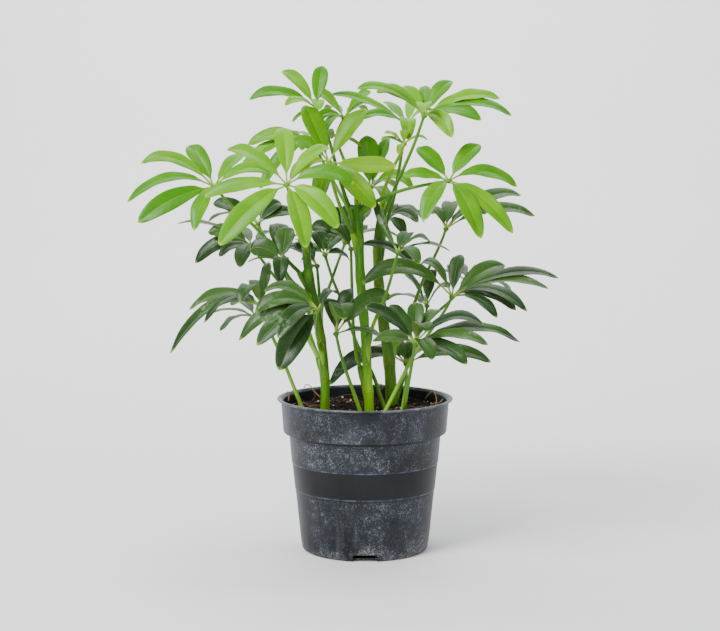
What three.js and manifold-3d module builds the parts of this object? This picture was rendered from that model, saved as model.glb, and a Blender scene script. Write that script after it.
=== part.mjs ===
// Potted umbrella plant: a round black nursery pot filled with soil, three upright stems, and compound leaves
// whose leaflets stand in a whorl round a hub at the top of each petiole. Millimetres, +Z up. The origin is
// the middle of the pot's underside, +X is to the right and +Y away from the viewer.
import * as THREE from "three";
import { mergeVertices } from "three/addons/utils/BufferGeometryUtils.js";
import Module from "manifold-3d";

const wasm = await Module();
wasm.setup();

// Driving dimensions of the pot. Its wall is given as [radius, height], up the outer face and down the inner
// one: foot, tapered body with two ridge lines, step, collar and thin lip.
const LIP_RADIUS = 60;
const POT_HEIGHT = 104;
const FOOT_RADIUS = 42.6;
const FLOOR = 1.8;
const POT_SIDES = 36;
const NOTCH = { width: 16.5, height: 4.9, depth: 12, centre: FOOT_RADIUS + 3, count: 4, turn: -Math.PI / 2 };
const WALL_OUTSIDE = [
  [FOOT_RADIUS - 0.8, 0], [FOOT_RADIUS + 0.9, 1.2], [44.1, 6], [47.95, 42.2], [50.25, 60.6],
  [52.1, 80.4], [55.4, 81.1], [55.9, 81.8], [57.4, 102.3], [59.3, 102.8], [LIP_RADIUS, 103.4],
  [LIP_RADIUS - 0.4, POT_HEIGHT],
];
const WALL_INSIDE = [[57.2, POT_HEIGHT], [55.9, 102.2], [54.4, 83], [50.6, 82], [42.7, 6], [41.5, FLOOR]];

// Driving dimensions of the soil. Its outer face is [radius, height], just inside the pot's wall, and its top
// face has rings of points at these radii, which rise and fall by the relief. CLEARANCE is the gap between
// one body and the next.
const SOIL_TOP = 96;
const SOIL_RELIEF = 2.2;
const CLEARANCE = 0.3;
const SOIL_OUTSIDE = [
  [39, FLOOR + CLEARANCE], [42.4, 7.5], [50.2, 82.4], [54, 83.4], [54.9, SOIL_TOP - 0.6],
];
const SOIL_RINGS = [46.3, 32.7, 16.3];

// Driving dimensions of the plant. RING_SWELL is how much a stem thickens at a ring scar, HOLE_EXTRA how much
// deeper its hole is than its foot, in picture units, and AXIS_STEPS how finely its axis is searched. A share
// is of the whole length of the petiole or leaflet. Triangles thinner than SLIVER are simplified away.
const STEM_SIDES = 8;
const STEM_ROWS = 14;
const RING_SWELL = 1.12;
const HOLE_EXTRA = 1;
const AXIS_STEPS = 200;
const PETIOLE_SIDES = 5;
const PETIOLE_ROWS = { least: 3, most: 9, length: 18 };
const PETIOLE_TOP_RADIUS = 1.0;
const PETIOLE_FOOT_RADIUS = 1.5;
const PETIOLE_DEPTH = 10;
const SHEATH_RADIUS = 2.1;
const SHEATH_SHARE = 0.1;
const HUB_RADIUS = 2.4;
const STALK_RADIUS = 0.75;
const STALK_SHARE = 0.2;
const BLADE_THICKNESS = 1.2;
const BLADE_FOLD = 0.22;
const FAR_WIDTH = 0.29;
const FAR_RISE = 0.16;
const SLIVER = 0.1;
const WELD = 1e-4;

// The viewpoint that the plant was measured from: an eye in front of the pot looking slightly down. FOCAL is in
// picture units, MIDDLE is the picture's middle, and every [across, down] below is a picture position.
const EYE = { x: -3.4, y: -1050, z: 269.4 };
const PITCH = THREE.MathUtils.degToRad(5.94);
const FOCAL = 1552;
const MIDDLE = { across: 360, down: 315.5 };

// The point that is seen at a picture position, at the distance y in front of (-) or behind (+) the pot's
// axis.
function seen([across, down, y]) {
  const right = (across - MIDDLE.across) / FOCAL;
  const up = (MIDDLE.down - down) / FOCAL;
  const reach = (y - EYE.y) / (Math.cos(PITCH) + up * Math.sin(PITCH));
  const rise = up * Math.cos(PITCH) - Math.sin(PITCH);
  return new THREE.Vector3(EYE.x + reach * right, y, EYE.z + reach * rise);
}

// Upright stems, from the soil to the top, as [across, down, y], with a radius at the foot and at the top.
// The rings are scars of old leaves, each given as a share of the stem's length.
const STEMS = {
  stem_left: {
    colour: 0x5c8f26, foot: 3.1, top: 3, rings: [0.25, 0.46, 0.62, 0.8],
    way: [[325, 424, -10], [324.5, 370, -10], [320.5, 335, -10], [315, 305, -9], [309, 275, -8],
      [305, 240, -8]],
  },
  stem_middle: {
    colour: 0x4f8a1c, foot: 3.2, top: 3.2, rings: [0.15, 0.33, 0.5, 0.68, 0.84],
    way: [[370, 426, -14], [368, 385, -14], [364.5, 325, -13], [360.5, 280, -12], [359, 240, -11],
      [358, 205, -10]],
  },
  stem_right: {
    colour: 0x3f6f24, foot: 4.4, top: 2.9, rings: [0.28, 0.45, 0.65, 0.82],
    way: [[392.5, 419, 14], [389, 360, 14], [383, 320, 14], [378, 270, 14], [378, 240, 14], [382, 212, 14]],
  },
};

// Compound leaves. "petiole" runs from the hub down to its seat, as [across, down, y]; "seat" is the stem and
// the height in mm at which the leaf sits on it, or "soil". Each leaflet is [across, down, y from the hub's,
// width in mm, rise of its arch in mm, turn of its face to the front in degrees]. "far" lists leaflets on the
// hidden side, as [heading in degrees round the hub, length in mm, height of the tip in mm].
const LEAVES = {
  leaf_far_left: {
    tone: "bright", petiole: [[214, 187, -20], [231, 205, -12], [250, 222, -4], [277, 250, -1]],
    seat: ["stem_left", 183],
    leaflets: [
      [141, 161, 0, 11, 9, 45], [127, 202, -4, 12, 11, 35], [138, 222, -14, 14, 4, 65],
      [188, 145, 16, 13, 4, 30],
      [245, 152, 20, 12, 3, 10], [272, 173, 6, 11, 7, 40], [194, 230, -24, 12, 6, 0],
    ],
  },
  leaf_front_left: {
    tone: "bright", petiole: [[287, 185, -68], [292, 205, -62], [300, 230, -44]],
    seat: ["stem_left", 205],
    leaflets: [
      [204, 196, 0, 12, 4, 45], [219, 244, -15, 15, 5, 65], [306, 246, -22, 15, 5, 0],
      [338, 226, -15, 14, 5, 55],
      [354, 182, -5, 12, 7, 50], [329, 146, 12, 12, 5, 30], [282, 127, 22, 13, 5, 0],
      [227, 147, 12, 12, 5, 40],
    ],
  },
  leaf_upper_left: {
    tone: "bright", petiole: [[312, 142, 40], [322, 160, 36], [338, 190, 24], [350, 212, 8]],
    seat: ["stem_middle", 219],
    leaflets: [
      [248, 143, 0, 12, 6, 45], [302, 150, -16, 11, 6, 0], [240, 168, -6, 10, 8, 40],
      [260, 187, -14, 11, 8, 40],
    ],
    far: [[20, 38, -4], [70, 38, 4], [120, 38, 2]],
  },
  leaf_top_left: {
    tone: "bright", petiole: [[316, 108, -5], [321, 120, -4], [329, 140, -3], [340, 180, -5], [350, 208, -8]],
    seat: ["stem_middle", 225],
    leaflets: [
      [249, 98, 0, 11, 7, 45], [285, 104, -12, 8, 4, 30], [282, 70, 10, 10, 4, 35], [322, 65, 14, 11, 2, 10],
      [319, 108, -22, 9, 5, 0], [292, 120, -6, 6, 1, 20],
    ],
  },
  leaf_front_middle: {
    tone: "young", petiole: [[329, 162, -28], [333, 185, -26], [345, 218, -20]],
    seat: ["stem_middle", 210],
    leaflets: [
      [304, 104, 10, 16, 2, 30], [366, 108, 10, 15, 2, 30], [396, 165, -5, 14, -1, 55],
      [375, 207, -15, 14, 3, 65],
      [318, 202, -20, 13, 5, 0], [290, 178, -8, 12, 5, 30], [288, 142, 10, 12, 5, 40],
    ],
  },
  leaf_top_middle: {
    tone: "bright", petiole: [[344, 118, 42], [337, 135, 38], [346, 165, 26], [358, 192, 6]],
    seat: ["stem_middle", 234],
    leaflets: [
      [315, 91, -6, 11, 4, 50], [371, 90, -4, 10, 3, 45], [316, 120, -10, 9, 4, 45], [324, 132, -18, 9, 5, 0],
      [380, 106, -8, 9, 6, 20],
    ],
    far: [[60, 32, 6], [115, 32, 6]],
  },
  leaf_top_behind: {
    tone: "bright", petiole: [[407, 125, 15], [403, 145, 15], [399, 170, 15], [392, 205, 15]],
    seat: ["stem_right", 206],
    leaflets: [
      [331, 93, 0, 9, 5, 40], [360, 118, -12, 9, 5, 40], [384, 101, 20, 9, 2, 10], [415, 98, 25, 9, 3, 0],
      [440, 118, 12, 9, 8, 0], [408, 138, -20, 11, 8, 0],
    ],
  },
  leaf_top_right: {
    tone: "bright", petiole: [[424, 116, -35], [415, 142, -30], [403, 170, -18], [395, 188, -4]],
    seat: ["stem_right", 219],
    leaflets: [
      [376, 90, 4, 11, 6, 40], [357, 88, -10, 10, 8, 35], [404, 85, 12, 11, 2, 20], [425, 84, 20, 8, 2, 0],
      [452, 79, 10, 12, 3, 30], [500, 98, 2, 11, 7, 40], [512, 114, -8, 11, 8, 35],
      [481, 119, -14, 11, 5, 45],
      [452, 136, -20, 11, 6, 40], [424, 110, -24, 11, 6, 0],
    ],
  },
  leaf_young: {
    tone: "young", petiole: [[404, 144, -12], [401, 152, -10], [390, 175, 6], [382, 198, 16]],
    seat: ["stem_right", 230],
    leaflets: [
      [384, 132, 0, 6, 2, 20], [381, 139, -6, 6, 2, 20], [404, 130, 8, 6, 2, 0], [398, 153, -8, 5, 2, 0],
      [428, 139, 0, 6, 3, 20],
    ],
  },
  leaf_behind_middle: {
    tone: "bright", petiole: [[370, 191, 52], [371, 203, 38], [368, 214, 12]],
    seat: ["stem_middle", 226],
    leaflets: [
      [367, 135, 8, 16, 3, 0], [388, 137, 14, 14, 3, 0], [413, 187, -6, 12, 10, 40],
      [388, 202, -20, 13, 6, 0],
      [338, 185, 6, 11, 8, 20],
    ],
    far: [[60, 38, 2], [120, 38, 2]],
  },
  leaf_front_right: {
    tone: "bright",
    petiole: [[449, 181, -52], [430, 184, -48], [415, 187, -43], [400, 191, -36], [385, 197, -26]],
    seat: ["stem_middle", 231],
    leaflets: [
      [417, 146, 10, 13, 2, 35], [480, 144, 12, 13, 3, 30], [517, 186, 0, 12, 8, 40],
      [513, 232, -10, 12, 6, 50],
      [481, 237, -20, 14, 6, 20], [423, 219, -18, 13, 6, 20], [403, 174, -2, 10, 2, 40],
    ],
  },
  leaf_right_dark: {
    tone: "dark", petiole: [[446, 229, 40], [442, 240, 38], [432, 262, 32], [424, 278, 27], [407, 320, 18]],
    seat: ["stem_right", 136],
    leaflets: [
      [431, 206, 10, 10, 3, 0], [452, 200, 22, 12, 4, 0], [535, 214, 0, 12, 9, 35],
      [521, 194, 18, 12, 9, 38],
      [487, 212, -14, 12, 8, 30],
    ],
    far: [[45, 42, 10], [100, 42, 10]],
  },
  leaf_middle_right: {
    tone: "dark", petiole: [[398, 252, -58], [391, 278, -52], [384, 300, -42], [376, 318, -28]],
    seat: ["stem_middle", 142],
    leaflets: [
      [431, 240, 0, 8, 5, 20], [451, 251, -4, 6, 5, 10], [419, 263, -20, 10, 6, 0], [411, 232, 14, 11, 3, 0],
      [372, 195, 26, 6, -2, 60],
    ],
  },
  leaf_stem_top: {
    tone: "dark", petiole: [[388, 219, 42], [386, 228, 34]],
    seat: ["stem_right", 202],
    leaflets: [
      [425, 222, 5, 11, 9, 15], [418, 222, -12, 11, 6, 30], [405, 234, -18, 9, 4, 20],
    ],
    far: [[40, 36, 0], [85, 40, 4], [125, 38, 6]],
  },
  leaf_right_low: {
    tone: "dark",
    petiole: [[452, 297, -26], [447, 307, -26], [432, 329, -26], [413, 357, -28], [404, 374, -30],
      [395, 392, -32]],
    seat: ["soil"],
    leaflets: [
      [362, 283, -2, 14, 15, 50], [417, 268, 12, 11, 12, 20], [460, 254, 16, 11, 3, 0],
      [505, 263, 10, 14, 4, 40],
      [559, 276, 0, 11, 9, 24], [549, 288, -12, 11, 8, 22], [516, 309, -16, 12, 8, 35],
      [527, 311, -28, 11, 10, 20],
      [497, 317, -30, 11, 6, 10],
    ],
  },
  leaf_right_inner: {
    tone: "dark", petiole: [[427, 306, 58], [425, 320, 56], [414, 345, 50], [403, 380, 41]],
    seat: ["soil"],
    leaflets: [
      [400, 272, 4, 12, 5, 10], [432, 268, 6, 12, 4, 0], [450, 286, -10, 10, 6, 20],
    ],
    far: [[95, 36, 0], [140, 38, 2]],
  },
  leaf_lowest_right: {
    tone: "dark", petiole: [[415, 343, -72], [413, 357, -66], [409, 380, -57]],
    seat: ["soil"],
    leaflets: [
      [390, 303, 10, 10, 2, 30], [365, 305, -4, 12, 4, 40], [416, 301, 16, 11, 3, 0],
      [439, 307, 16, 11, 3, 0],
      [427, 331, -24, 12, 8, 0], [484, 324, 0, 12, 10, 25], [520, 340, 10, 12, 9, 28],
      [488, 343, -14, 11, 6, 25],
      [467, 364, -24, 12, 5, 30], [432, 358, -28, 12, 6, 0], [373, 339, 30, 13, 3, 35],
    ],
  },
  leaf_low_behind: {
    tone: "dark", petiole: [[406, 364, 26], [406.5, 377, 15], [405, 390, 4]],
    seat: ["soil"],
    leaflets: [
      [329, 384, 0, 15, 14, 34], [394, 338, 14, 11, 3, 0], [416, 339, 14, 11, 3, 0],
      [491, 361, 0, 12, 8, 40],
    ],
    far: [[50, 42, 6], [90, 42, 6], [130, 42, 6]],
  },
  leaf_low_left_front: {
    tone: "dark", petiole: [[318, 310, -56], [317, 322, -46], [317, 335, -30]],
    seat: ["stem_left", 140],
    leaflets: [
      [264, 290, 10, 12, 8, 30], [255, 310, -6, 13, 8, 40], [239, 338, -4, 13, 11, 40],
      [257, 345, -16, 13, 8, 50],
      [278, 337, -26, 12, 8, 30], [279, 369, -24, 17, 4, 45], [338, 292, 10, 12, 5, 0],
    ],
  },
  leaf_low_middle: {
    tone: "dark", petiole: [[336, 334, -38], [340, 352, -38], [345, 368, -38], [352, 388, -37]],
    seat: ["soil"],
    leaflets: [
      [344, 319, -26, 16, 14, 0], [350, 287, 14, 12, 3, 0], [388, 341, 0, 9, 5, 20], [328, 296, 8, 12, 3, 0],
      [391, 296, 12, 14, 8, 50],
    ],
  },
  leaf_left_inner: {
    tone: "dark", petiole: [[282, 262, -24], [285, 270, -23], [292, 281, -18]],
    seat: ["stem_left", 172],
    leaflets: [
      [250, 249, 4, 15, 4, 55], [287, 226, 12, 14, 2, 0], [277, 221, 24, 14, 3, 0], [280, 281, -16, 11, 8, 0],
      [247, 262, -8, 6, 3, 0],
    ],
  },
  leaf_left_middle: {
    tone: "dark", petiole: [[252, 246, 44], [262, 260, 40], [281, 284, 24]],
    seat: ["stem_left", 158],
    leaflets: [
      [195, 261, -2, 13, 8, 50], [240, 267, -24, 13, 6, 0], [176, 222, 6, 7, 6, 20], [208, 232, 0, 13, 4, 50],
      [219, 255, -14, 9, 4, 30], [238, 228, 20, 11, 3, 0],
    ],
    far: [[60, 36, 6], [110, 38, 6]],
  },
  leaf_lowest_left: {
    tone: "dark", petiole: [[261, 307, -4], [270, 331, -6], [283, 360, -10], [293, 385, -12]],
    seat: ["soil"],
    leaflets: [
      [170, 353, -4, 14, 17, 28], [189, 309, 14, 12, 10, 42], [240, 303, -24, 12, 13, 0],
      [253, 279, 18, 10, 3, 0],
      [269, 260, 4, 8, 2, 30], [204, 322, -14, 10, 12, 12],
    ],
    far: [[100, 40, 8], [145, 38, 6]],
  },
  leaf_inner: {
    tone: "dark", petiole: [[325, 255, 22], [333, 280, 20], [340, 297, 18], [350, 325, 12], [358, 346, 5],
      [373, 375, -1], [380, 395, -3]],
    seat: ["soil"],
    leaflets: [
      [315, 230, 8, 14, 2, 10], [340, 234, 12, 14, 2, 10], [350, 260, 10, 9, 4, 30], [300, 262, 10, 9, 6, 30],
    ],
    far: [[140, 34, 4]],
  },
  leaf_inner_small: {
    tone: "dark", petiole: [[317, 266, 12], [319, 290, 10], [320, 308, 6]],
    seat: ["stem_left", 146],
    leaflets: [
      [285, 248, 10, 11, 5, 20], [296, 238, 16, 11, 4, 0], [303, 282, -4, 8, 4, 20],
    ],
  },
  leaf_inner_behind: {
    tone: "dark", petiole: [[345, 243, 60], [338, 262, 54], [331, 282, 42], [322, 308, 20]],
    seat: ["stem_left", 130],
    leaflets: [
      [331, 205, 8, 13, 3, 10], [352, 203, 10, 14, 3, 10], [311, 226, 4, 13, 4, 50],
    ],
    far: [[20, 42, 4], [70, 42, 8], [120, 42, 8], [160, 40, 4]],
  },
  leaf_inner_long: {
    tone: "dark", petiole: [[351, 249, 2], [352, 290, -2], [354, 335, -8], [358.5, 363, -12]],
    seat: ["stem_middle", 118],
    leaflets: [
      [418, 268, 0, 11, 9, 30], [331, 229, -4, 10, 3, 30], [340, 222, 8, 10, 3, 0],
    ],
  },
  leaf_left_behind: {
    tone: "dark", petiole: [[258, 224, 80], [268, 245, 72], [290, 285, 48], [312, 340, 16]],
    seat: ["stem_left", 118],
    leaflets: [
      [281, 201, 8, 12, 3, 45], [295, 213, 4, 12, 4, 45], [213, 202, 2, 13, 4, 45],
    ],
    far: [[30, 42, 4], [75, 44, 6], [115, 44, 6], [155, 42, 2]],
  },
  leaf_back_right: {
    tone: "dark", petiole: [[468, 282, 74], [452, 299, 66], [425, 322, 46], [404, 336, 28]],
    seat: ["stem_right", 130],
    leaflets: [],
    far: [[-75, 34, -8], [-30, 36, -6], [15, 40, 2], [60, 42, 6], [105, 42, 6], [150, 40, 2]],
  },
  leaf_back_left: {
    tone: "dark", petiole: [[256, 318, 66], [272, 318, 56], [292, 323, 34], [307, 338, 8]],
    seat: ["stem_left", 124],
    leaflets: [],
    far: [[25, 36, 0], [75, 40, 6], [120, 40, 6], [170, 38, 0], [225, 34, -6], [310, 32, -6]],
  },
};

const TONES = { young: 0x9abf2a, bright: 0x6da832, dark: 0x35642c };

// Rows of a leaflet's blade, between its stalk and the point of its tip: the share of the blade's length and
// of its half width. A leaflet narrower than BROAD has fewer rows.
const BROAD_BLADE = [
  { along: 0.24, width: 0.76 }, { along: 0.54, width: 1 }, { along: 0.84, width: 0.72 },
];
const NARROW_BLADE = [{ along: 0.36, width: 0.94 }, { along: 0.78, width: 0.8 }];
const BROAD = 12;

const UP = new THREE.Vector3(0, 0, 1);

function weld(geometry) {
  const bare = geometry.clone();
  bare.deleteAttribute("normal");
  bare.deleteAttribute("uv");
  return mergeVertices(bare, WELD);
}

// A closed geometry as a solid. Triangles that shrank to a line at a pole or a tip are left out.
function solid(geometry) {
  const merged = weld(geometry);
  const index = merged.getIndex().array;
  const triangles = [];
  for (let i = 0; i < index.length; i += 3) {
    const [a, b, c] = [index[i], index[i + 1], index[i + 2]];
    if (a !== b && b !== c && c !== a) triangles.push(a, b, c);
  }
  return new wasm.Manifold(new wasm.Mesh({
    numProp: 3,
    vertProperties: new Float32Array(merged.getAttribute("position").array),
    triVerts: new Uint32Array(triangles),
  }));
}

// The largest body of a solid, with the small scraps dropped.
function largest(body) {
  return body.decompose().reduce((best, piece) => (piece.volume() > best.volume() ? piece : best));
}

function meshOf(name, body, colour, roughness) {
  const { vertProperties, triVerts } = body.getMesh();
  const geometry = new THREE.BufferGeometry();
  geometry.setAttribute("position", new THREE.BufferAttribute(vertProperties, 3));
  geometry.setIndex(new THREE.BufferAttribute(triVerts, 1));
  geometry.computeVertexNormals();
  const material = new THREE.MeshStandardMaterial({ color: colour, roughness, metalness: 0 });
  const mesh = new THREE.Mesh(geometry, material);
  mesh.name = name;
  return mesh;
}

// A closed tube along a curve: a cylinder whose rings are carried along it. radiusAt takes the share of the
// length, from 0 at the curve's start to 1 at its end.
function tube(curve, radiusAt, sides, rows) {
  const geometry = new THREE.CylinderGeometry(1, 1, 1, sides, rows);
  const { normals, binormals } = curve.computeFrenetFrames(rows, false);
  const position = geometry.getAttribute("position");
  for (let i = 0; i < position.count; i += 1) {
    const share = position.getY(i) + 0.5;
    const row = Math.round(share * rows);
    const radius = radiusAt(share);
    const place = curve.getPointAt(share)
      .addScaledVector(binormals[row], position.getX(i) * radius)
      .addScaledVector(normals[row], position.getZ(i) * radius);
    position.setXYZ(i, place.x, place.y, place.z);
  }
  return solid(geometry);
}

// A profile of [radius, height] turned round the Z axis.
function lathe(profile) {
  const points = profile.map(([radius, height]) => new THREE.Vector2(radius, height));
  return new THREE.LatheGeometry(points, POT_SIDES).rotateX(Math.PI / 2);
}

// Pot: the turned wall and floor, with the drain notches cut into its foot.
function pot() {
  let body = solid(lathe([[0, 0], ...WALL_OUTSIDE, ...WALL_INSIDE, [0, FLOOR]]));
  for (let i = 0; i < NOTCH.count; i += 1) {
    const turn = NOTCH.turn + (i * 2 * Math.PI) / NOTCH.count;
    const bite = new THREE.BoxGeometry(NOTCH.depth, NOTCH.width, NOTCH.height * 2);
    bite.translate(NOTCH.centre, 0, 0);
    bite.rotateZ(turn);
    body = body.subtract(solid(bite));
  }
  return body;
}

// Soil: three waves laid over each other make its uneven top.
function soilRelief(x, y) {
  const broad = Math.sin(x * 0.19 + 1.3) * Math.cos(y * 0.16);
  const slanting = Math.sin(x * 0.33 - y * 0.27);
  const fine = Math.cos(y * 0.41 + x * 0.1);
  return SOIL_RELIEF * (0.5 * broad + 0.3 * slanting + 0.2 * fine);
}

function soil(holes) {
  const top = [...SOIL_RINGS, 0].map((radius) => [radius, SOIL_TOP]);
  const geometry = lathe([[0, FLOOR + CLEARANCE], ...SOIL_OUTSIDE, ...top]);
  const position = geometry.getAttribute("position");
  for (let i = 0; i < position.count; i += 1) {
    const [x, y, z] = [position.getX(i), position.getY(i), position.getZ(i)];
    if (z > SOIL_TOP - 0.1) position.setZ(i, z + soilRelief(x, y));
  }
  return holes.reduce((body, hole) => body.subtract(hole), solid(geometry));
}

// Stems: tapered tubes that swell at each ring scar.
function stemCurve(stem) {
  return new THREE.CatmullRomCurve3(stem.way.map(seen));
}

function stemRadius(stem, share) {
  const plain = THREE.MathUtils.lerp(stem.foot, stem.top, share);
  const onRing = stem.rings.some((ring) => Math.abs(ring - share) < 0.5 / STEM_ROWS);
  return onRing ? plain * RING_SWELL : plain;
}

function stemBody(stem, extra) {
  return tube(stemCurve(stem), (share) => stemRadius(stem, share) + extra, STEM_SIDES, STEM_ROWS);
}

// The hole that a stem stands in, wider than the stem all round and a little deeper.
function stemHole(stem) {
  const [[across, down, y], ...rest] = stem.way;
  return stemBody({ ...stem, way: [[across, down + HOLE_EXTRA, y], ...rest] }, CLEARANCE);
}

// The point on a stem's axis at a height in mm.
function onAxis(stem, height) {
  const points = stemCurve(stem).getSpacedPoints(AXIS_STEPS);
  const off = (point) => Math.abs(point.z - height);
  return points.reduce((best, point) => (off(point) < off(best) ? point : best));
}

// One leaflet: a cone with four sides, whose rings are carried along the leaflet's midrib. The corners of a
// ring are the upper face, one margin, the lower face and the other margin, so the blade is a thin folded lens.
// The first two rings are the ends of its stalk.
function leaflet({ root, tip, width, rise, turn }) {
  const chord = tip.clone().sub(root);
  const heading = new THREE.Vector3(chord.x, chord.y, 0).normalize();
  const knee = root.clone().lerp(tip, 0.5).addScaledVector(UP, 2 * rise);
  const midrib = new THREE.QuadraticBezierCurve3(root, knee, tip);
  const blade = width < BROAD ? NARROW_BLADE : BROAD_BLADE;
  const onBlade = blade.map(({ along }) => STALK_SHARE + (1 - STALK_SHARE) * along);
  const alongs = [0, STALK_SHARE, ...onBlade, 1];
  const rows = alongs.length - 1;
  const geometry = new THREE.ConeGeometry(1, 1, 4, rows);
  const position = geometry.getAttribute("position");
  const level = new THREE.Vector3().crossVectors(heading, UP);
  const sway = THREE.MathUtils.degToRad(turn) * (heading.x < 0 ? -1 : 1);
  for (let i = 0; i < position.count; i += 1) {
    const share = position.getY(i) + 0.5;
    const row = Math.round(share * rows);
    const ring = Math.max(1 - share, 1e-9);
    const atTip = row === rows;
    const [sideways, upwards] = atTip ? [0, 0] : [position.getX(i) / ring, position.getZ(i) / ring];
    const wide = blade[row - 2];
    const halfWidth = wide ? (width / 2) * wide.width : STALK_RADIUS;
    const halfDepth = wide ? BLADE_THICKNESS / 2 : STALK_RADIUS;
    const fold = wide ? BLADE_FOLD * halfWidth * Math.abs(sideways) : 0;
    const tangent = midrib.getTangent(alongs[row]);
    const face = new THREE.Vector3().crossVectors(level, tangent).applyAxisAngle(tangent, sway).normalize();
    const side = new THREE.Vector3().crossVectors(tangent, face);
    const place = midrib.getPoint(alongs[row])
      .addScaledVector(side, sideways * halfWidth)
      .addScaledVector(face, upwards * halfDepth + fold);
    position.setXYZ(i, place.x, place.y, place.z);
  }
  return solid(geometry);
}

// A petiole's way from the hub down to its seat: straight on into the soil, or to the axis of its stem.
function petioleWay(leaf) {
  const points = leaf.petiole.map(seen);
  if (leaf.seat[0] === "soil") {
    const [before, last] = points.slice(-2);
    const step = last.clone().sub(before);
    points.push(last.clone().addScaledVector(step, (SOIL_TOP - PETIOLE_DEPTH - last.z) / step.z));
  } else {
    points.push(onAxis(STEMS[leaf.seat[0]], leaf.seat[1]));
  }
  return points;
}

function petioleRadius(leaf, share) {
  const plain = THREE.MathUtils.lerp(PETIOLE_TOP_RADIUS, PETIOLE_FOOT_RADIUS, share);
  return leaf.seat[0] !== "soil" && share > 1 - SHEATH_SHARE ? SHEATH_RADIUS : plain;
}

function petioleBody(leaf, points, extra) {
  const curve = new THREE.CatmullRomCurve3(points);
  const { least, most, length } = PETIOLE_ROWS;
  const rows = THREE.MathUtils.clamp(Math.round(curve.getLength() / length), least, most);
  return tube(curve, (share) => petioleRadius(leaf, share) + extra, PETIOLE_SIDES, rows);
}

function farLeaflet(hub, [heading, length, height]) {
  const turn = THREE.MathUtils.degToRad(heading);
  const tip = hub.clone().add(new THREE.Vector3(Math.cos(turn) * length, Math.sin(turn) * length, height));
  return { root: hub, tip, width: length * FAR_WIDTH, rise: length * FAR_RISE, turn: 0 };
}

// A compound leaf as one body: hub, petiole and leaflets, cut back from the stem that it sits on.
function leafBody(leaf) {
  const hub = seen(leaf.petiole[0]);
  const y = leaf.petiole[0][2];
  const knob = new THREE.OctahedronGeometry(HUB_RADIUS, 0);
  knob.translate(hub.x, hub.y, hub.z);
  const blades = leaf.leaflets.map(([tipAcross, tipDown, away, width, rise, turn]) => (
    leaflet({ root: hub, tip: seen([tipAcross, tipDown, y + away]), width, rise, turn })
  ));
  const farBlades = (leaf.far ?? []).map((spec) => leaflet(farLeaflet(hub, spec)));
  const petiole = petioleBody(leaf, petioleWay(leaf), 0);
  let body = wasm.Manifold.union([solid(knob), petiole, ...blades, ...farBlades]);
  if (leaf.seat[0] !== "soil") body = body.subtract(stemBody(STEMS[leaf.seat[0]], CLEARANCE));
  return largest(body.simplify(SLIVER));
}

// The hole in the soil for a petiole that stands in it.
function petioleHole(leaf) {
  const points = petioleWay(leaf);
  const [before, last] = points.slice(-2);
  const deeper = last.clone().sub(before).setLength(2 * CLEARANCE);
  points[points.length - 1] = last.clone().add(deeper);
  return petioleBody(leaf, points, CLEARANCE);
}

const plant = new THREE.Group();
plant.add(meshOf("pot", pot(), 0x1d1e20, 0.5));

const rooted = Object.values(LEAVES).filter((leaf) => leaf.seat[0] === "soil");
const holes = [...Object.values(STEMS).map(stemHole), ...rooted.map(petioleHole)];
plant.add(meshOf("soil", largest(soil(holes)), 0x33261c, 0.95));

for (const [name, stem] of Object.entries(STEMS)) {
  plant.add(meshOf(name, stemBody(stem, 0), stem.colour, 0.55));
}
for (const [name, leaf] of Object.entries(LEAVES)) {
  plant.add(meshOf(name, leafBody(leaf), TONES[leaf.tone], 0.45));
}

export default plant;
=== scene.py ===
"""Potted umbrella plant: a round black nursery pot of soil, three upright stems and thirty compound leaves.

Metres, +Z up; +X is to the right and +Y away from the camera, and the origin is the middle of the pot's
underside. Shapes are worked out in millimetres and brought to metres when a piece is finished. The stems
and leaves follow the same tables as the CAD part, so each piece lies where its node lies.
"""

import math
import random

import bmesh
import bpy
from mathutils import Matrix, Quaternion, Vector, noise


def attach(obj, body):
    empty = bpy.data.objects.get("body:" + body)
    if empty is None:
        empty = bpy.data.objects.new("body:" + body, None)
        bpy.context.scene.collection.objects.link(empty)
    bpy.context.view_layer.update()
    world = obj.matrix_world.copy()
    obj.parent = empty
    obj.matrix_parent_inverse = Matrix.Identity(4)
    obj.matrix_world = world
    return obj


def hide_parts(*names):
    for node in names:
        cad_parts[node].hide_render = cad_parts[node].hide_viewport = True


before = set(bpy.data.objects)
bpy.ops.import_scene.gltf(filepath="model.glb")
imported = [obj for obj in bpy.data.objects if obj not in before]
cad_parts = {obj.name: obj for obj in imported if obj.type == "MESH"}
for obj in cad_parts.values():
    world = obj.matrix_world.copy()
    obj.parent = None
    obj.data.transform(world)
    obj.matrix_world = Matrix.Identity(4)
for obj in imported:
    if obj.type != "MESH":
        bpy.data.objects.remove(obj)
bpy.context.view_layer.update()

MM = 0.001
UP = Vector((0, 0, 1))

# Points that are nearer than this, in mm, are one, and a smooth way is worked out in this many steps
# between two of its given points
SAME_POINT = 0.0005
WAY_STEPS = 24

# The viewpoint of the photograph, in mm and in the picture's own units; the nearest reach is in metres
EYE = Vector((-3.4, -1050, 269.4))
PITCH = math.radians(5.94)
FOCAL = 1552
MIDDLE = (360, 315.5)
PICTURE_WIDTH = 720
SENSOR = 36
NEAREST = 0.02

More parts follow.
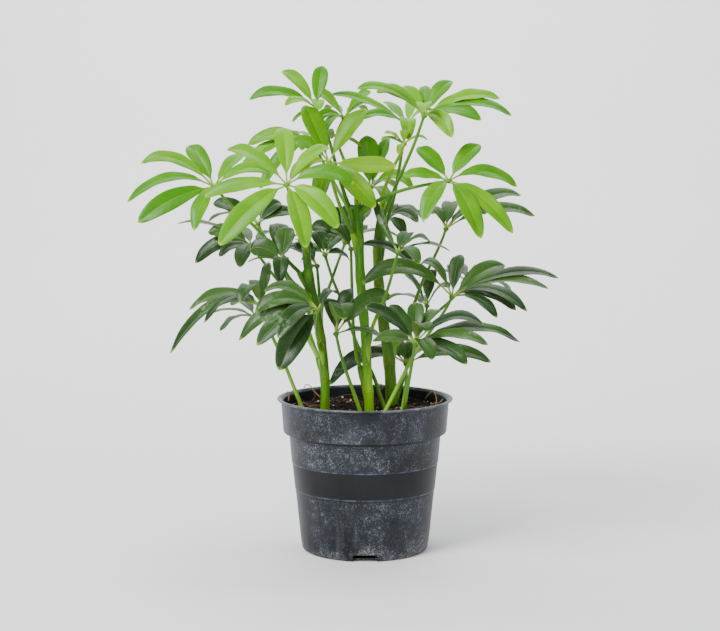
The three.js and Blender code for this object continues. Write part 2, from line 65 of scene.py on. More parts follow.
# Pot, in mm. A wall is given as (radius, height).
POT_WALL = [
    (0, 1), (39.9, 1), (40.4, 0.15), (40.7, 0), (41.6, 0), (42.5, 0.3), (43.2, 1), (43.6, 2), (44.1, 6),
    (47.75, 41.7), (48, 41.9), (48.1, 42.3), (49.95, 60.1), (50.2, 60.3), (50.3, 60.7), (51.95, 79.8),
    (52.2, 80.2), (52.9, 80.4), (55, 80.8), (55.6, 81.1), (55.9, 81.8), (57.3, 101.5), (57.6, 102.3),
    (58.4, 102.6), (59.4, 102.8), (59.85, 103.1), (60, 103.5), (59.8, 103.9), (59.3, 104), (57.9, 104),
    (57.4, 103.9), (57.1, 103.5), (55.9, 102.2), (54.4, 83), (50.6, 82), (42.7, 6), (41.5, 1.8), (0, 1.8),
]
POT_TURNS = 144
POT_CREASE = math.radians(38)
NOTCH_SIZE = Vector((12, 16.5, 9.8))
NOTCH_PLACE = 45.6
NOTCH_COUNT = 4
NOTCH_CORNER = 1.6

# Heights in metres between which a mark on the pot comes in or fades out, as (from, to). The first is a
# squared radius, for what is inside the wall.
INSIDE_SQUARE = (0.00316, 0.00311)
INSIDE_LEVEL = (0.095, 0.096)
COLLAR = (0.0803, 0.0818)
UPPER_FOOT, UPPER_HEAD = (0.0604, 0.062), (0.0812, 0.0785)
LOWER_HEAD = (0.0424, 0.0397)
FOOT_HEAD = (0.014, 0.002)
RIDGES = (0.0423, 0.0607)
RIDGE_FADE = (0.0007, 0.0002)
# The SHADE heights bound a dark line of painted shade just under the collar's lower edge.
SHADE_FOOT, SHADE_HEAD = (0.0788, 0.0798), (0.0813, 0.0809)
RIM = (0.1027, 0.1031)

# Soil and the loose bits on it, in mm: how many there are of each kind, and their half widths or lengths
SOIL_WALL = [(54.6, 94.6), (53.9, 83.5), (50.1, 82.5), (42.4, 9), (36, 4.5), (34, 2.1), (0, 2.1)]
SOIL_TOP = 96
SOIL_RADIUS = 54.6
SOIL_RINGS = 44
SOIL_TURNS = 150
SOIL_RELIEF, RELIEF_SHARE = 2.2, 0.6
CLOD_HEIGHT, CLOD_SCALE, CLOD_FRACTAL = 1.1, 0.22, (0.8, 2.1, 4)
SOIL_EDGE = (5, 0.4)
CRUMB_MARGIN, ROOT_MARGIN = 1.5, 2
SOIL_SEED = 1665
EARTH, BARK, PERLITE, ROOTS = range(4)
LUMP_ROUGH = (0.7, 1.15)
LUMPS, LUMP_SIZES = 1500, (0.5, 1.5)
FLAKES, FLAKE_SIZES = 330, (1, 2.6)
PERLITE_GRAINS, GRAIN_SIZES = 84, (0.35, 1.15)
FINE_ROOTS, FINE_LENGTHS, FINE_LIFT = 44, (7, 20), 2
ROOT_SIDES, ROOT_BENDS, ROOT_ROWS, LOOP_ROWS = 6, 4, 14, 24

# Loose roots that stand up from the soil, as (across, down, y)
ROOT_LOOPS = [
    [
        (304, 388, -14), (305.5, 385, -14), (309, 385, -13), (312, 388, -12), (315, 392, -11),
        (320, 397, -10),
    ],
    [(314, 391, -11), (315, 396, 5), (313, 401, 33)],
    [(287, 391, 12), (289, 395, 12), (288.5, 401, 12)],
    [(433.5, 391, -5), (435.5, 395, -5), (436.5, 400, -6), (436, 406, -8)],
    [(425, 399, 0), (429, 394, -2), (434, 391, -5)],
    [(430, 406, -4), (435, 403, 0), (439, 403, 2), (443, 399, 8)],
    [(376, 384, 22), (380, 384, 21), (384, 386, 20), (388, 390, 20)],
    [(377, 393, 26), (381, 389, 23), (386, 386, 20)],
]

# Stems, in mm. A reach is the share of the stem's length over which a form fades out.
STEM_SKIN, BUD_SKIN = range(2)
STEM_ROWS = 110
STEM_SIDES = 20
RING_SWELL, RING_REACH = 0.12, 0.045
SCAR_DEPTH, SCAR_REACH = 0.04, 0.006
FLARE, FLARE_REACH = 0.04, 0.07
BUD_SCALES, BUD_SIDES, BUD_ROWS = 3, 8, 10
BUD_HEIGHTS = (6, 9)
BUD_LEANS = (1, 2.5)

# Compound leaves, in mm. The blade's columns are the places across it, from edge to edge.
BLADE, STALK = range(2)
PETIOLE_SIDES = 10
PETIOLE_RADII = (0.97, 1.5)
PETIOLE_DEPTH = 10
PETIOLE_ROWS = 24
PETIOLE_STEP = 2.2
NECK_SWELL, NECK_REACH = 0.5, 0.03
SHEATH_RADIUS = 2.1
SHEATH_SHARE = 0.14
SHEATH_REACH = (9, 12)
SHEATH_SINKS, SHEATH_DROP, SHEATH_ROWS = (0.2, 0.5), 1.5, 16
HUB_RADIUS = 2.1
HUB_SQUASH = 0.8
STALK_RADIUS = 0.62
STALK_SHARE = 0.1
STALK_ROWS = 3
BLADE_ROWS = 20
BLADE_COLUMNS = (-1, -0.93, -0.76, -0.5, -0.24, -0.08, 0, 0.08, 0.24, 0.5, 0.76, 0.93, 1)
BLADE_THICKNESS = 0.55
BLADE_FOLD, FOLD_EASE = 0.34, 0.42
BLADE_POWERS, BLADE_WIDEST = (0.85, 0.62), 0.3676
RIB_HALF, RIB_GROOVE, RIB_KEEL, KEEL_FADE = 0.6, 0.12, 0.42, 0.6
FAR_WIDTH = 0.29
FAR_RISE = 0.16

# Shares of a blade's length between which it opens from its stalk, its waves grow, its tip droops, and its
# fold and thickness fade
BLADE_OPEN = (0.0, 0.15)
BLADE_WAVY = (0, 0.3)
BLADE_DROOP = (0.7, 1.0)
BLADE_FLAT = (1.0, 0.85)
BLADE_THIN = (1.0, 0.93)

# How far leaflets differ: turn of the face, height and number of the edge's waves, bend to a side as a
# share of the length, and droop of the tip
SWAY = 0.07
WAVE_HEIGHTS = (0.15, 0.55)
WAVE_COUNTS = (1.6, 2.8)
BEND = 0.03
DROOPS = (0.2, 1.4)

# Room, in metres, and its lamps: place, point that the lamp faces, width and height, power in watts
ROOM_HALF = 2.4
ROOM_MIDDLE = (0, -0.9, 0)
ROOM_HEIGHT = 2.6
ROOM_BEND, ROOM_BEND_STEPS = 0.7, 14
SKY_COLOUR = (0.95, 0.97, 1, 1)
SKY_STRENGTH = 0.4
LAMPS = {
    "key": ((-0.75, -0.85, 1.15), (0, 0, 0.2), (0.55, 0.75), 36),
    "fill": ((1.1, -0.9, 0.7), (0, 0, 0.18), (0.6, 0.9), 6),
    "front": ((-0.15, -1.4, 0.22), (0, 0, 0.15), (1.1, 0.3), 5),
    "top": ((0.1, 0.35, 1.3), (0, 0, 0.2), (0.9, 0.7), 8),
    "wall wash": ((0, 0.75, 1.5), (0, 2, 0.3), (2.4, 0.4), 44),
}

# Stems from the soil up, as (across, down, y), with the radius at the foot and at the top and the places of
# the ring scars as shares of the stem's length
STEMS = {
    "stem_left": {
        "foot": 3.1, "top": 3, "rings": [0.25, 0.46, 0.62, 0.8],
        "way": [
            (325, 424, -10), (324.5, 370, -10), (320.5, 335, -10), (315, 305, -9), (309, 275, -8),
            (305, 240, -8),
        ],
    },
    "stem_middle": {
        "foot": 3.2, "top": 3.2, "rings": [0.15, 0.33, 0.5, 0.68, 0.84],
        "way": [
            (370, 426, -14), (368, 385, -14), (364.5, 325, -13), (360.5, 280, -12), (359, 240, -11),
            (358, 205, -10),
        ],
    },
    "stem_right": {
        "foot": 4.4, "top": 2.9, "rings": [0.28, 0.45, 0.65, 0.82],
        "way": [
            (392.5, 419, 14), (389, 360, 14), (383, 320, 14), (378, 270, 14), (378, 240, 14),
            (382, 212, 14),
        ],
    },
}

# Compound leaves. The seat is the stem and the height on it in mm, or the soil. The petiole runs from the
# hub down as (across, down, y). A leaflet is (across, down, y from the hub's, width in mm, rise of its
# arch in mm, turn of its face to the front in degrees). The far leaflets, on the hidden side, are
# (heading in degrees, length in mm, height of the tip in mm).
LEAVES = {
    "leaf_far_left": {
        "tone": "bright", "seat": ("stem_left", 183),
        "petiole": [(214, 187, -20), (231, 205, -12), (250, 222, -4), (277, 250, -1)],
        "leaflets": [
            (141, 161, 0, 11, 9, 45), (127, 202, -4, 12, 11, 35), (138, 222, -14, 14, 4, 65),
            (188, 145, 16, 13, 4, 30), (245, 152, 20, 12, 3, 10), (272, 173, 6, 11, 7, 40),
            (194, 230, -24, 12, 6, 0),
        ],
    },
    "leaf_front_left": {
        "tone": "bright", "seat": ("stem_left", 205),
        "petiole": [(287, 185, -68), (292, 205, -62), (300, 230, -44)],
        "leaflets": [
            (204, 196, 0, 12, 4, 45), (219, 244, -15, 15, 5, 65), (306, 246, -22, 15, 5, 0),
            (338, 226, -15, 14, 5, 55), (354, 182, -5, 12, 7, 50), (329, 146, 12, 12, 5, 30),
            (282, 127, 22, 13, 5, 0), (227, 147, 12, 12, 5, 40),
        ],
    },
    "leaf_upper_left": {
        "tone": "bright", "seat": ("stem_middle", 219),
        "petiole": [(312, 142, 40), (322, 160, 36), (338, 190, 24), (350, 212, 8)],
        "leaflets": [
            (248, 143, 0, 12, 6, 45), (302, 150, -16, 11, 6, 0), (240, 168, -6, 10, 8, 40),
            (260, 187, -14, 11, 8, 40),
        ],
        "far": [(20, 38, -4), (70, 38, 4), (120, 38, 2)],
    },
    "leaf_top_left": {
        "tone": "bright", "seat": ("stem_middle", 225),
        "petiole": [(316, 108, -5), (321, 120, -4), (329, 140, -3), (340, 180, -5), (350, 208, -8)],
        "leaflets": [
            (249, 98, 0, 11, 7, 45), (285, 104, -12, 8, 4, 30), (282, 70, 10, 10, 4, 35),
            (322, 65, 14, 11, 2, 10), (319, 108, -22, 9, 5, 0), (292, 120, -6, 6, 1, 20),
        ],
    },
    "leaf_front_middle": {
        "tone": "young", "seat": ("stem_middle", 210),
        "petiole": [(329, 162, -28), (333, 185, -26), (345, 218, -20)],
        "leaflets": [
            (304, 104, 10, 16, 2, 30), (366, 108, 10, 15, 2, 30), (396, 165, -5, 14, -1, 55),
            (375, 207, -15, 14, 3, 65), (318, 202, -20, 13, 5, 0), (290, 178, -8, 12, 5, 30),
            (288, 142, 10, 12, 5, 40),
        ],
    },
    "leaf_top_middle": {
        "tone": "bright", "seat": ("stem_middle", 234),
        "petiole": [(344, 118, 42), (337, 135, 38), (346, 165, 26), (358, 192, 6)],
        "leaflets": [
            (315, 91, -6, 11, 4, 50), (371, 90, -4, 10, 3, 45), (316, 120, -10, 9, 4, 45),
            (324, 132, -18, 9, 5, 0), (380, 106, -8, 9, 6, 20),
        ],
        "far": [(60, 32, 6), (115, 32, 6)],
    },
    "leaf_top_behind": {
        "tone": "bright", "seat": ("stem_right", 206),
        "petiole": [(407, 125, 15), (403, 145, 15), (399, 170, 15), (392, 205, 15)],
        "leaflets": [
            (331, 93, 0, 9, 5, 40), (360, 118, -12, 9, 5, 40), (384, 101, 20, 9, 2, 10),
            (415, 98, 25, 9, 3, 0), (440, 118, 12, 9, 8, 0), (408, 138, -20, 11, 8, 0),
        ],
    },
    "leaf_top_right": {
        "tone": "bright", "seat": ("stem_right", 219),
        "petiole": [(424, 116, -35), (415, 142, -30), (403, 170, -18), (395, 188, -4)],
        "leaflets": [
            (376, 90, 4, 11, 6, 40), (357, 88, -10, 10, 8, 35), (404, 85, 12, 11, 2, 20),
            (425, 84, 20, 8, 2, 0), (452, 79, 10, 12, 3, 30), (500, 98, 2, 11, 7, 40),
            (512, 114, -8, 11, 8, 35), (481, 119, -14, 11, 5, 45), (452, 136, -20, 11, 6, 40),
            (424, 110, -24, 11, 6, 0),
        ],
    },
    "leaf_young": {
        "tone": "young", "seat": ("stem_right", 230),
        "petiole": [(404, 144, -12), (401, 152, -10), (390, 175, 6), (382, 198, 16)],
        "leaflets": [
            (384, 132, 0, 6, 2, 20), (381, 139, -6, 6, 2, 20), (404, 130, 8, 6, 2, 0),
            (398, 153, -8, 5, 2, 0), (428, 139, 0, 6, 3, 20),
        ],
    },
    "leaf_behind_middle": {
        "tone": "bright", "seat": ("stem_middle", 226),
        "petiole": [(370, 191, 52), (371, 203, 38), (368, 214, 12)],
        "leaflets": [
            (367, 135, 8, 16, 3, 0), (388, 137, 14, 14, 3, 0), (413, 187, -6, 12, 10, 40),
            (388, 202, -20, 13, 6, 0), (338, 185, 6, 11, 8, 20),
        ],
        "far": [(60, 38, 2), (120, 38, 2)],
    },
    "leaf_front_right": {
        "tone": "bright", "seat": ("stem_middle", 231),
        "petiole": [(449, 181, -52), (430, 184, -48), (415, 187, -43), (400, 191, -36), (385, 197, -26)],
        "leaflets": [
            (417, 146, 10, 13, 2, 35), (480, 144, 12, 13, 3, 30), (517, 186, 0, 12, 8, 40),
            (513, 232, -10, 12, 6, 50), (481, 237, -20, 14, 6, 20), (423, 219, -18, 13, 6, 20),
            (403, 174, -2, 10, 2, 40),
        ],
    },
    "leaf_right_dark": {
        "tone": "dark", "seat": ("stem_right", 136),
        "petiole": [(446, 229, 40), (442, 240, 38), (432, 262, 32), (424, 278, 27), (407, 320, 18)],
        "leaflets": [
            (431, 206, 10, 10, 3, 0), (452, 200, 22, 12, 4, 0), (535, 214, 0, 12, 9, 35),
            (521, 194, 18, 12, 9, 38), (487, 212, -14, 12, 8, 30),
        ],
        "far": [(45, 42, 10), (100, 42, 10)],
    },
    "leaf_middle_right": {
        "tone": "dark", "seat": ("stem_middle", 142),
        "petiole": [(398, 252, -58), (391, 278, -52), (384, 300, -42), (376, 318, -28)],
        "leaflets": [
            (431, 240, 0, 8, 5, 20), (451, 251, -4, 6, 5, 10), (419, 263, -20, 10, 6, 0),
            (411, 232, 14, 11, 3, 0), (372, 195, 26, 6, -2, 60),
        ],
    },
    "leaf_stem_top": {
        "tone": "dark", "seat": ("stem_right", 202),
        "petiole": [(388, 219, 42), (386, 228, 34)],
        "leaflets": [(425, 222, 5, 11, 9, 15), (418, 222, -12, 11, 6, 30), (405, 234, -18, 9, 4, 20)],
        "far": [(40, 36, 0), (85, 40, 4), (125, 38, 6)],
    },
    "leaf_right_low": {
        "tone": "dark", "seat": ("soil", 0),
        "petiole": [
            (452, 297, -26), (447, 307, -26), (432, 329, -26), (413, 357, -28), (404, 374, -30),
            (395, 392, -32),
        ],
        "leaflets": [
            (362, 283, -2, 14, 15, 50), (417, 268, 12, 11, 12, 20), (460, 254, 16, 11, 3, 0),
            (505, 263, 10, 14, 4, 40), (559, 276, 0, 11, 9, 24), (549, 288, -12, 11, 8, 22),
            (516, 309, -16, 12, 8, 35), (527, 311, -28, 11, 10, 20), (497, 317, -30, 11, 6, 10),
        ],
    },
    "leaf_right_inner": {
        "tone": "dark", "seat": ("soil", 0),
        "petiole": [(427, 306, 58), (425, 320, 56), (414, 345, 50), (403, 380, 41)],
        "leaflets": [(400, 272, 4, 12, 5, 10), (432, 268, 6, 12, 4, 0), (450, 286, -10, 10, 6, 20)],
        "far": [(95, 36, 0), (140, 38, 2)],
    },
    "leaf_lowest_right": {
        "tone": "dark", "seat": ("soil", 0),
        "petiole": [(415, 343, -72), (413, 357, -66), (409, 380, -57)],
        "leaflets": [
            (390, 303, 10, 10, 2, 30), (365, 305, -4, 12, 4, 40), (416, 301, 16, 11, 3, 0),
            (439, 307, 16, 11, 3, 0), (427, 331, -24, 12, 8, 0), (484, 324, 0, 12, 10, 25),
            (520, 340, 10, 12, 9, 28), (488, 343, -14, 11, 6, 25), (467, 364, -24, 12, 5, 30),
            (432, 358, -28, 12, 6, 0), (373, 339, 30, 13, 3, 35),
        ],
    },
    "leaf_low_behind": {
        "tone": "dark", "seat": ("soil", 0),
        "petiole": [(406, 364, 26), (406.5, 377, 15), (405, 390, 4)],
        "leaflets": [
            (329, 384, 0, 15, 14, 34), (394, 338, 14, 11, 3, 0), (416, 339, 14, 11, 3, 0),
            (491, 361, 0, 12, 8, 40),
        ],
        "far": [(50, 42, 6), (90, 42, 6), (130, 42, 6)],
    },
    "leaf_low_left_front": {
        "tone": "dark", "seat": ("stem_left", 140),
        "petiole": [(318, 310, -56), (317, 322, -46), (317, 335, -30)],
        "leaflets": [
            (264, 290, 10, 12, 8, 30), (255, 310, -6, 13, 8, 40), (239, 338, -4, 13, 11, 40),
            (257, 345, -16, 13, 8, 50), (278, 337, -26, 12, 8, 30), (279, 369, -24, 17, 4, 45),
            (338, 292, 10, 12, 5, 0),
        ],
    },
    "leaf_low_middle": {
        "tone": "dark", "seat": ("soil", 0),
        "petiole": [(336, 334, -38), (340, 352, -38), (345, 368, -38), (352, 388, -37)],
        "leaflets": [
            (344, 319, -26, 16, 14, 0), (350, 287, 14, 12, 3, 0), (388, 341, 0, 9, 5, 20),
            (328, 296, 8, 12, 3, 0), (391, 296, 12, 14, 8, 50),
        ],
    },
    "leaf_left_inner": {
        "tone": "dark", "seat": ("stem_left", 172),
        "petiole": [(282, 262, -24), (285, 270, -23), (292, 281, -18)],
        "leaflets": [
            (250, 249, 4, 15, 4, 55), (287, 226, 12, 14, 2, 0), (277, 221, 24, 14, 3, 0),
            (280, 281, -16, 11, 8, 0), (247, 262, -8, 6, 3, 0),
        ],
    },
    "leaf_left_middle": {
        "tone": "dark", "seat": ("stem_left", 158),
        "petiole": [(252, 246, 44), (262, 260, 40), (281, 284, 24)],
        "leaflets": [
            (195, 261, -2, 13, 8, 50), (240, 267, -24, 13, 6, 0), (176, 222, 6, 7, 6, 20),
            (208, 232, 0, 13, 4, 50), (219, 255, -14, 9, 4, 30), (238, 228, 20, 11, 3, 0),
        ],
        "far": [(60, 36, 6), (110, 38, 6)],
    },
    "leaf_lowest_left": {
        "tone": "dark", "seat": ("soil", 0),
        "petiole": [(261, 307, -4), (270, 331, -6), (283, 360, -10), (293, 385, -12)],
        "leaflets": [
            (170, 353, -4, 14, 17, 28), (189, 309, 14, 12, 10, 42), (240, 303, -24, 12, 13, 0),
            (253, 279, 18, 10, 3, 0), (269, 260, 4, 8, 2, 30), (204, 322, -14, 10, 12, 12),
        ],
        "far": [(100, 40, 8), (145, 38, 6)],
    },
    "leaf_inner": {
        "tone": "dark", "seat": ("soil", 0),
        "petiole": [
            (325, 255, 22), (333, 280, 20), (340, 297, 18), (350, 325, 12), (358, 346, 5), (373, 375, -1),
            (380, 395, -3),
        ],
        "leaflets": [
            (315, 230, 8, 14, 2, 10), (340, 234, 12, 14, 2, 10), (350, 260, 10, 9, 4, 30),
            (300, 262, 10, 9, 6, 30),
        ],
        "far": [(140, 34, 4)],
    },
    "leaf_inner_small": {
        "tone": "dark", "seat": ("stem_left", 146),
        "petiole": [(317, 266, 12), (319, 290, 10), (320, 308, 6)],
        "leaflets": [(285, 248, 10, 11, 5, 20), (296, 238, 16, 11, 4, 0), (303, 282, -4, 8, 4, 20)],
    },
    "leaf_inner_behind": {
        "tone": "dark", "seat": ("stem_left", 130),
        "petiole": [(345, 243, 60), (338, 262, 54), (331, 282, 42), (322, 308, 20)],
        "leaflets": [(331, 205, 8, 13, 3, 10), (352, 203, 10, 14, 3, 10), (311, 226, 4, 13, 4, 50)],
        "far": [(20, 42, 4), (70, 42, 8), (120, 42, 8), (160, 40, 4)],
    },
    "leaf_inner_long": {
        "tone": "dark", "seat": ("stem_middle", 118),
        "petiole": [(351, 249, 2), (352, 290, -2), (354, 335, -8), (358.5, 363, -12)],
        "leaflets": [(418, 268, 0, 11, 9, 30), (331, 229, -4, 10, 3, 30), (340, 222, 8, 10, 3, 0)],
    },
    "leaf_left_behind": {
        "tone": "dark", "seat": ("stem_left", 118),
        "petiole": [(258, 224, 80), (268, 245, 72), (290, 285, 48), (312, 340, 16)],
        "leaflets": [(281, 201, 8, 12, 3, 45), (295, 213, 4, 12, 4, 45), (213, 202, 2, 13, 4, 45)],
        "far": [(30, 42, 4), (75, 44, 6), (115, 44, 6), (155, 42, 2)],
    },
    "leaf_back_right": {
        "tone": "dark", "seat": ("stem_right", 130),
        "petiole": [(468, 282, 74), (452, 299, 66), (425, 322, 46), (404, 336, 28)],
        "leaflets": [],
        "far": [(-75, 34, -8), (-30, 36, -6), (15, 40, 2), (60, 42, 6), (105, 42, 6), (150, 40, 2)],
    },
    "leaf_back_left": {
        "tone": "dark", "seat": ("stem_left", 124),
        "petiole": [(256, 318, 66), (272, 318, 56), (292, 323, 34), (307, 338, 8)],
        "leaflets": [],
        "far": [(25, 36, 0), (75, 40, 6), (120, 40, 6), (170, 38, 0), (225, 34, -6), (310, 32, -6)],
    },
}


# Places and ways


def seen(spot):
    """The point in mm that the picture shows at (across, down), at the distance y from the pot's axis."""
    across, down, y = spot
    right = (across - MIDDLE[0]) / FOCAL
    up = (MIDDLE[1] - down) / FOCAL
    reach = (y - EYE.y) / (math.cos(PITCH) + up * math.sin(PITCH))
    return Vector((EYE.x + reach * right, y, EYE.z + reach * (up * math.cos(PITCH) - math.sin(PITCH))))


def smooth_way(points, count):
    """count + 1 evenly spaced points on the smooth curve through the points."""
    held = [2 * points[0] - points[1], *points, 2 * points[-1] - points[-2]]
    dense = []
    for a, b, c, d in zip(held, held[1:], held[2:], held[3:]):
        before, here, after = ((q - p).length ** 0.5 for p, q in ((a, b), (b, c), (c, d)))
        leave = ((b - a) / before - (c - a) / (before + here) + (c - b) / here) * here
        arrive = ((c - b) / here - (d - b) / (here + after) + (d - c) / after) * here
        for k in range(WAY_STEPS):
            t = k / WAY_STEPS
            square = (3 * (c - b) - 2 * leave - arrive) * t ** 2
            cube = (2 * (b - c) + leave + arrive) * t ** 3
            dense.append(b + leave * t + square + cube)
    dense.append(points[-1])
    lengths = [0]
    for p, q in zip(dense, dense[1:]):
        lengths.append(lengths[-1] + (q - p).length)
    way, k = [], 0
    for i in range(count + 1):
        target = lengths[-1] * i / count
        while k < len(dense) - 2 and lengths[k + 1] < target:
            k += 1
        share = (target - lengths[k]) / (lengths[k + 1] - lengths[k])
        way.append(dense[k].lerp(dense[k + 1], share))
    return way


def ease(value, start, end):
    """0 before start, 1 after end and a smooth step between them."""
    t = min(1, max(0, (value - start) / (end - start)))
    return t * t * (3 - 2 * t)


def mixed(a, b, share):
    """The value at a share of the way from a to b."""
    return a + (b - a) * share


# Pieces


def mesh_of(name, work):
    """The finished mesh of a bmesh, which is freed."""
    data = bpy.data.meshes.new(name)
    work.to_mesh(data)
    work.free()
    return data


def added(name, data):
    """A new object in the scene."""
    made = bpy.data.objects.new(name, data)
    bpy.context.scene.collection.objects.link(made)
    return made


class Piece:
    """A piece under construction in mm. Each face carries a finish number, and each point a tone."""

    def __init__(self, name):
        self.name = name
        self.mesh = bmesh.new()
        self.uv = self.mesh.loops.layers.uv.new("along")
        self.tone = self.mesh.verts.layers.float.new("tone")

    def carry(self, columns, rows, place, length_share=None, finish=0, tone=0.0):
        """Lays a grid where place(around, along) says and closes it round. Its UV map keeps both shares."""
        made = bmesh.ops.create_grid(
            self.mesh, x_segments=columns, y_segments=rows, size=1, calc_uvs=True)["verts"]
        for face in {face for vert in made for face in vert.link_faces}:
            face.smooth = True
            face.material_index = finish
            if length_share:
                for loop in face.loops:
                    loop[self.uv].uv.y = length_share(loop[self.uv].uv.y)
        for vert in made:
            vert.co = place((vert.co.x + 1) / 2, (vert.co.y + 1) / 2)
            vert[self.tone] = tone
        bmesh.ops.remove_doubles(self.mesh, verts=made, dist=SAME_POINT)

    def tube(self, way, radius, sides, finish=0, tone=0.0):
        """A round tube along a way, whose radius(share) goes from its start, 0, to its end, 1."""
        rows = len(way) - 1
        tangents = [(way[min(i + 1, rows)] - way[max(i - 1, 0)]).normalized() for i in range(rows + 1)]
        normals = [tangents[0].orthogonal().normalized()]
        for tangent in tangents[1:]:
            normals.append((normals[-1] - tangent * normals[-1].dot(tangent)).normalized())

        def place(around, along):
            row = round(along * rows)
            turn = around * math.tau
            out = normals[row] * math.cos(turn) + tangents[row].cross(normals[row]) * math.sin(turn)
            return way[row] + out * radius(along)

        self.carry(sides, rows, place, finish=finish, tone=tone)

    def lump(self, place, size, turn, rng, finish, tone, detail=1):
        """A small rough body: size is its three half widths."""
        matrix = Matrix.Translation(place) @ turn.to_matrix().to_4x4() @ Matrix.Diagonal((*size, 1))
        made = bmesh.ops.create_icosphere(
            self.mesh, subdivisions=detail, radius=1, matrix=matrix)["verts"]
        for vert in made:
            vert.co = place + (vert.co - place) * rng.uniform(*LUMP_ROUGH)
            vert[self.tone] = tone
            for face in vert.link_faces:
                face.material_index = finish

    def ball(self, place, radius, squash, finish):
        """A smooth flattened ball."""
        matrix = Matrix.Translation(place) @ Matrix.Diagonal((radius, radius, radius * squash, 1))
        made = bmesh.ops.create_icosphere(self.mesh, subdivisions=3, radius=1, matrix=matrix)["verts"]
        for vert in made:
            for face in vert.link_faces:
                face.material_index = finish
                face.smooth = True

    def turn_round(self, wall, turns):
        """Spins (radius, height) points round the Z axis."""
        verts = [self.mesh.verts.new((radius, 0, height)) for radius, height in wall]
        edges = [self.mesh.edges.new(pair) for pair in zip(verts, verts[1:])]
        bmesh.ops.spin(self.mesh, geom=verts + edges, cent=(0, 0, 0), axis=(0, 0, 1), dvec=(0, 0, 0),
                       angle=math.tau, steps=turns, use_merge=True)
        bmesh.ops.remove_doubles(self.mesh, verts=self.mesh.verts, dist=SAME_POINT)
        for face in self.mesh.faces:
            face.smooth = True

    def finish(self, finishes, slot, node):
        """Closes the ends, brings the piece to metres and hangs it in the frame in place of its node."""
        open_edges = [edge for edge in self.mesh.edges if edge.is_boundary]
        if open_edges:
            bmesh.ops.holes_fill(self.mesh, edges=open_edges, sides=0)
        bmesh.ops.recalc_face_normals(self.mesh, faces=self.mesh.faces)
        bmesh.ops.scale(self.mesh, vec=(MM, MM, MM), verts=self.mesh.verts)
        data = mesh_of(self.name, self.mesh)
        made = added(self.name, data)
        for material in finishes:
            data.materials.append(material)
        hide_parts(node)
        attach(made, "root")
        return made


# Materials


def shade(code):
    """The linear colour of a six-figure colour code."""
    parts = (int(code[i:i + 2], 16) / 255 for i in (0, 2, 4))
    return (*(v / 12.92 if v <= 0.04045 else ((v + 0.055) / 1.055) ** 2.4 for v in parts), 1)


class Value:
    """A number in a material. Arithmetic on it adds Math nodes."""

    def __init__(self, paint, socket):
        self.paint = paint
        self.socket = socket

    def worked(self, operation, *values):
        return self.paint.node("ShaderNodeMath", {"operation": operation}, dict(enumerate(values)))

    def __add__(self, other):
        return self.worked("ADD", self, other)

    __radd__ = __add__

    def __sub__(self, other):
        return self.worked("SUBTRACT", self, other)

    def __rsub__(self, other):
        return self.worked("SUBTRACT", other, self)

    def __mul__(self, other):
        return self.worked("MULTIPLY", self, other)

    __rmul__ = __mul__

    def __truediv__(self, other):
        return self.worked("DIVIDE", self, other)

    def __abs__(self):
        return self.worked("ABSOLUTE", self)

    def rise(self, start, end):
        """0 up to start, 1 from end on, a smooth step between. Where start is above end it falls."""
        low, high, first, last = (start, end, 0, 1) if start < end else (end, start, 1, 0)
        return self.paint.node(
            "ShaderNodeMapRange", {"interpolation_type": "SMOOTHSTEP"},
            {"Value": self, "From Min": low, "From Max": high, "To Min": first, "To Max": last})


class Paint:
    """A material under construction, round one Principled shader."""

    def __init__(self, name, **constants):
        self.material = bpy.data.materials.new(name)
        self.material.use_nodes = True
        self.tree = self.material.node_tree
        self.shader = self.tree.nodes["Principled BSDF"]
        for socket, value in constants.items():
            self.shader.inputs[socket.replace("_", " ")].default_value = value

    def node(self, kind, settings=None, inputs=None, output=0):
        """A node with its settings, then the values or links of its sockets, and one of its outputs."""
        made = self.tree.nodes.new(kind)
        for key, value in (settings or {}).items():
            setattr(made, key, value)
        for key, value in (inputs or {}).items():
            if isinstance(value, Value):
                self.tree.links.new(value.socket, made.inputs[key])
            else:
                made.inputs[key].default_value = value
        return Value(self, made.outputs[output])

    def place(self, scale=(1, 1, 1)):
        """The place on the piece in metres, stretched by scale."""
        here = self.node("ShaderNodeTexCoord", output="Object")
        return self.node("ShaderNodeMapping", inputs={"Vector": here, "Scale": scale})

    def parts(self, vector):
        made = self.node("ShaderNodeSeparateXYZ", inputs={0: vector})
        return [Value(self, made.socket.node.outputs[axis]) for axis in "XYZ"]

    def mapped(self):
        """The UV map that a carried grid keeps: around, along."""
        return self.parts(self.node("ShaderNodeUVMap", {"uv_map": "along"}))[:2]

    def tone(self):
        return self.node("ShaderNodeAttribute", {"attribute_name": "tone"}, output="Fac")

    def cloud(self, scale, detail=3, stretch=(1, 1, 1), rough=0.5):
        return self.node("ShaderNodeTexNoise", inputs={
            "Vector": self.place(stretch), "Scale": scale, "Detail": detail, "Roughness": rough})

    def cells(self, scale, stretch=(1, 1, 1)):
        return self.node("ShaderNodeTexVoronoi", inputs={"Vector": self.place(stretch), "Scale": scale})

    def mix(self, share, first, second):
        return self.node(
            "ShaderNodeMix", {"data_type": "RGBA"}, {0: share, 6: first, 7: second}, output=2)

    def layers(self, base, *coats):
        """A base colour under coats of (share, colour code)."""
        colour = shade(base) if isinstance(base, str) else base
        for share, code in coats:
            colour = self.mix(share, colour, shade(code))
        return colour

    def done(self, colour, roughness, height=None, strength=0.4, distance=0.0004):
        """Connects what varies over the surface and returns the material."""
        feeds = {"Base Color": colour, "Roughness": roughness}
        if height is not None:
            feeds["Normal"] = self.node(
                "ShaderNodeBump", inputs={"Strength": strength, "Distance": distance, "Height": height})
        for socket, value in feeds.items():
            if isinstance(value, Value):
                self.tree.links.new(value.socket, self.shader.inputs[socket])
            else:
                self.shader.inputs[socket].default_value = value
        return self.material


